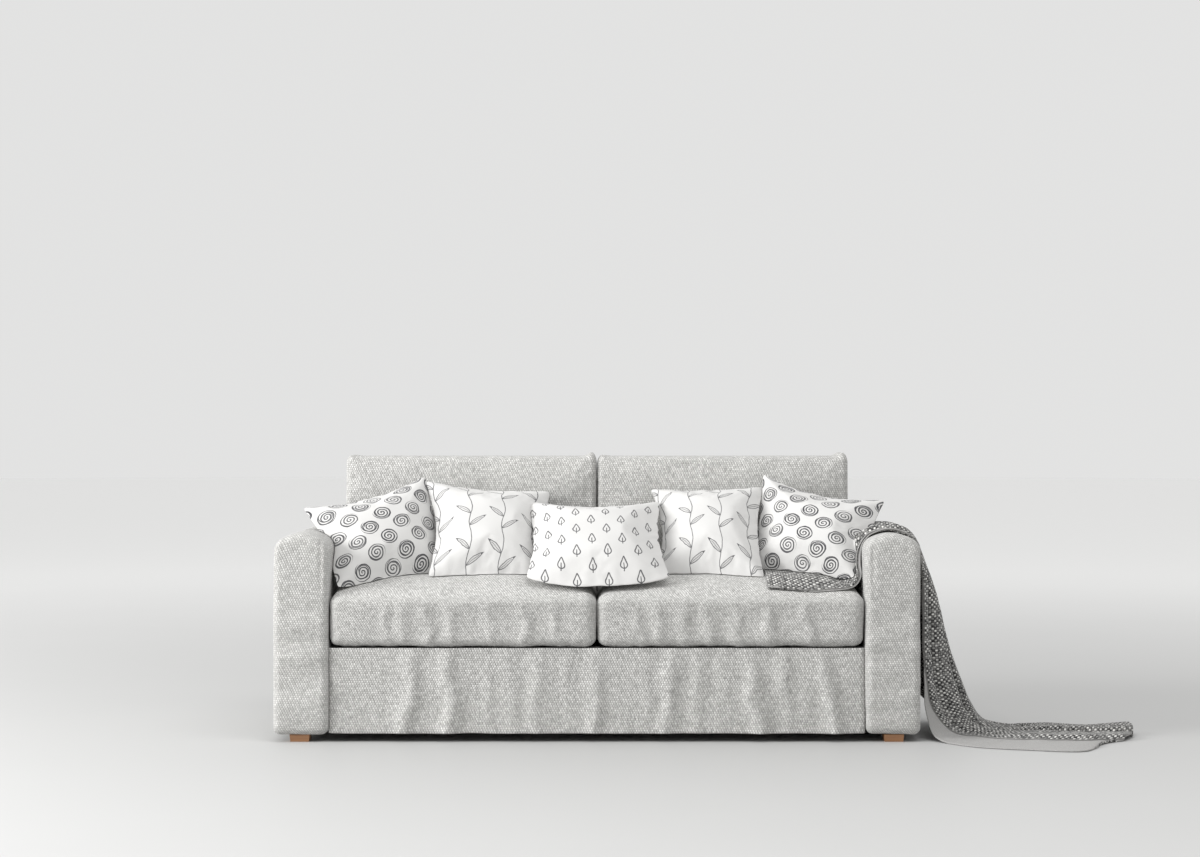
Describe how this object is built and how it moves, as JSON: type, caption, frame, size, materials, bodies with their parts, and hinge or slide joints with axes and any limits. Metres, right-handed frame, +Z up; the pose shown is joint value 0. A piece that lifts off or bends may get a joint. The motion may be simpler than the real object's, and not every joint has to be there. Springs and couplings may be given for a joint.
{
  "type": "two-seat sofa",
  "caption": "Upholstered sofa in a loose linen cover with arched arms, box seat and back cushions, leaning scatter cushions and a folded throw over one arm.",
  "frame": {"origin": "on the floor under the middle of the sofa's body, at the underside of the centre foot", "axes": "+X to the right as seen from the front, +Y from front to back, +Z up"},
  "size_m": [2.6918, 1.089, 0.881],
  "materials": {
    "linen_cover": "coarse heathered light grey linen weave, matt",
    "printed_cotton": "off-white cotton printed with dark grey line patterns, matt",
    "throw_weave": "coarse melange basket weave in dark grey and white wool, matt",
    "throw_plain_side": "plain light grey underside of the throw, matt",
    "foot_wood": "oiled mid-brown oak, satin"
  },
  "bodies": {
    "root": {"arm_left": "linen_cover", "arm_right": "linen_cover", "back_frame": "linen_cover", "seat_base": "linen_cover", "skirt_front": "linen_cover", "foot_front_left": "foot_wood", "foot_front_right": "foot_wood", "foot_rear_left": "foot_wood", "foot_rear_right": "foot_wood", "foot_centre": "foot_wood", "seat_cushion_left": "linen_cover", "seat_cushion_right": "linen_cover", "back_cushion_left": "linen_cover", "back_cushion_right": "linen_cover", "throw_seat": "throw_weave", "throw_arm": "throw_weave", "throw_drop": "throw_weave", "throw_floor": "throw_weave", "throw_lining": "throw_plain_side", "scatter_drops_centre": "printed_cotton", "scatter_vines_left": "printed_cotton", "scatter_vines_right": "printed_cotton", "scatter_roundels_left": "printed_cotton", "scatter_roundels_right": "printed_cotton"}
  },
  "joints": []
}
